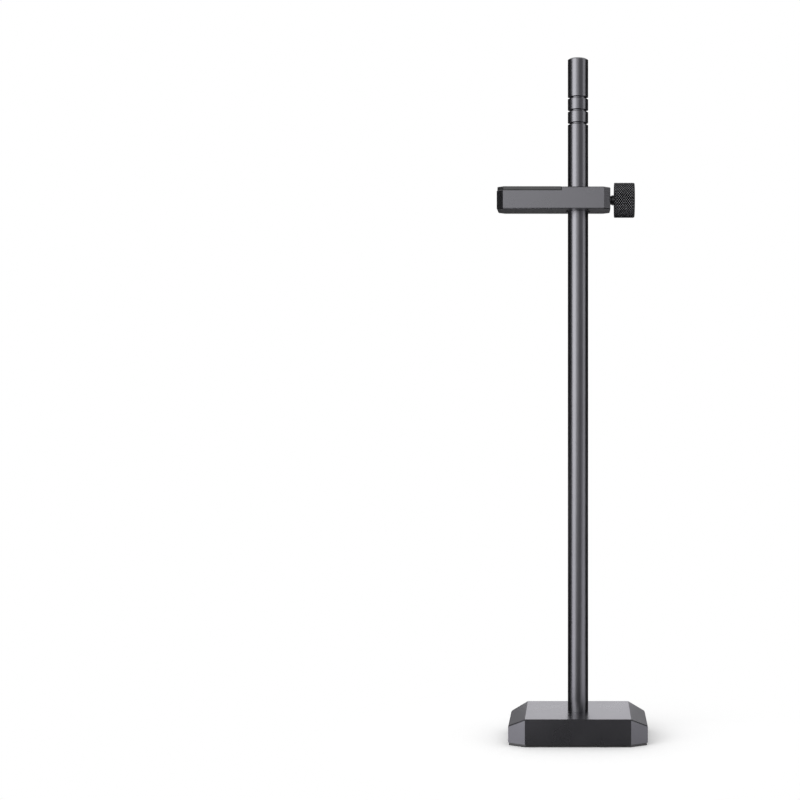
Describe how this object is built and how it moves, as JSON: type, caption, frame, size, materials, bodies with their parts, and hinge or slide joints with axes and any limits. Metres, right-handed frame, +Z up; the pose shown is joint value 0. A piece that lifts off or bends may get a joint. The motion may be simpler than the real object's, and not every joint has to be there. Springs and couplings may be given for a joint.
{
  "type": "graphics card support bracket",
  "caption": "Standing bracket that props up a graphics card: low metal foot, round pole, and a padded arm that slides on the pole and is clamped by a knurled thumbscrew.",
  "frame": {"origin": "on the pole's axis, on the floor under the foot", "axes": "+Z up along the pole, +X towards the thumbscrew, so the padded end of the arm points to -X"},
  "size_m": [0.0438, 0.028, 0.2],
  "materials": {
    "satin_aluminium": "fine bead-blasted, dark grey anodised",
    "soft_pad": "satin black silicone rubber",
    "plated_magnet": "nickel plated",
    "black_screw": "black anodised, diamond knurl"
  },
  "bodies": {
    "foot": {"base_block": "satin_aluminium", "foot_pad": "soft_pad", "magnet_left": "plated_magnet", "magnet_right": "plated_magnet"},
    "pole": {"pole": "satin_aluminium"},
    "arm": {"arm_block": "satin_aluminium", "arm_pad": "soft_pad"},
    "thumbscrew": {"thumbscrew": "black_screw"}
  },
  "joints": [
    {"name": "pole_turn", "type": "hinge", "parent": "foot", "child": "pole", "pos_m": [0, 0, 0.008], "axis": [0, 0, 1], "continuous": true},
    {"name": "arm_slide", "type": "slide", "parent": "pole", "child": "arm", "axis": [0, 0, 1], "range_m": [-0.1445, 0.0375]},
    {"name": "thumbscrew_turn", "type": "hinge", "parent": "arm", "child": "thumbscrew", "pos_m": [0.0136, 0, 0.1581], "axis": [1, 0, 0], "range_deg": [0, 900]}
  ]
}
